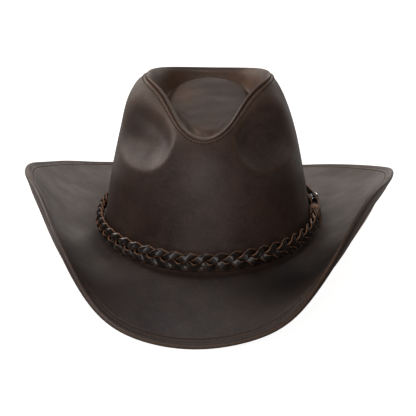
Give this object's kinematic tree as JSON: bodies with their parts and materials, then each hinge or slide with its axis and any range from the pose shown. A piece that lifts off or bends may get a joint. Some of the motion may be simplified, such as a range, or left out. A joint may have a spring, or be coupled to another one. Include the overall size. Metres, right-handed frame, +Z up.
{
  "type": "cowboy hat",
  "caption": "Oiled leather western hat: pinched, dished crown, brim rolled up at the sides over a shaping wire, and a braided leather band closed by a press stud.",
  "frame": {"origin": "centre of the head opening, on the level of the fold between crown and brim", "axes": "+Z up out of the crown, -Y to the front of the brim, +X to the wearer's left"},
  "size_m": [0.3116, 0.3734, 0.1566],
  "materials": {
    "oiled_leather": "dark brown oiled pull-up leather, satin, lighter where it is bent or rubbed",
    "suede": "rust brown suede, the flesh side of the hide",
    "braid_leather": "near-black brown lace, semi-gloss, with tan cut edges",
    "sweatband_leather": "smooth mid-brown leather",
    "lining_cloth": "dark satin cloth",
    "stiffener_board": "pressed fibre board",
    "thread": "waxed brown thread",
    "steel_wire": "drawn spring wire",
    "chrome": "polished chrome plate",
    "reed_plastic": "extruded plastic reed"
  },
  "bodies": {
    "hat": {"crown_side_panel": "oiled_leather", "crown_top_panel": "oiled_leather", "lining_side": "lining_cloth", "lining_top": "lining_cloth", "crown_seam_thread": "thread", "back_seam_thread_left": "thread", "back_seam_thread_right": "thread", "back_seam_tape": "sweatband_leather", "brim_upper": "oiled_leather", "brim_stiffener": "stiffener_board", "brim_underside": "suede", "brim_wire": "steel_wire", "brim_thread_top": "thread", "brim_thread_under": "thread", "sweatband": "sweatband_leather", "sweatband_reed": "reed_plastic", "sweatband_thread": "thread", "sweatband_bow": "lining_cloth"},
    "hat_band": {"braid_strand_a": "braid_leather", "braid_strand_b": "braid_leather", "braid_strand_c": "braid_leather", "band_keeper_back": "braid_leather", "band_keeper_front": "braid_leather", "band_tab_inner": "braid_leather", "snap_post": "chrome", "snap_stud": "chrome"},
    "closure_tab": {"band_tab_outer": "braid_leather", "snap_socket": "chrome", "snap_cap": "chrome"}
  },
  "joints": [
    {"name": "band_lift", "type": "slide", "parent": "hat", "child": "hat_band", "axis": [0, 0, 1], "range_m": [0, 0.14]},
    {"name": "closure_open", "type": "hinge", "parent": "hat_band", "child": "closure_tab", "pos_m": [0.09376, 0.00667, 0.01022], "axis": [0.0164, -0.3415, -0.9397], "range_deg": [0, 25]}
  ]
}
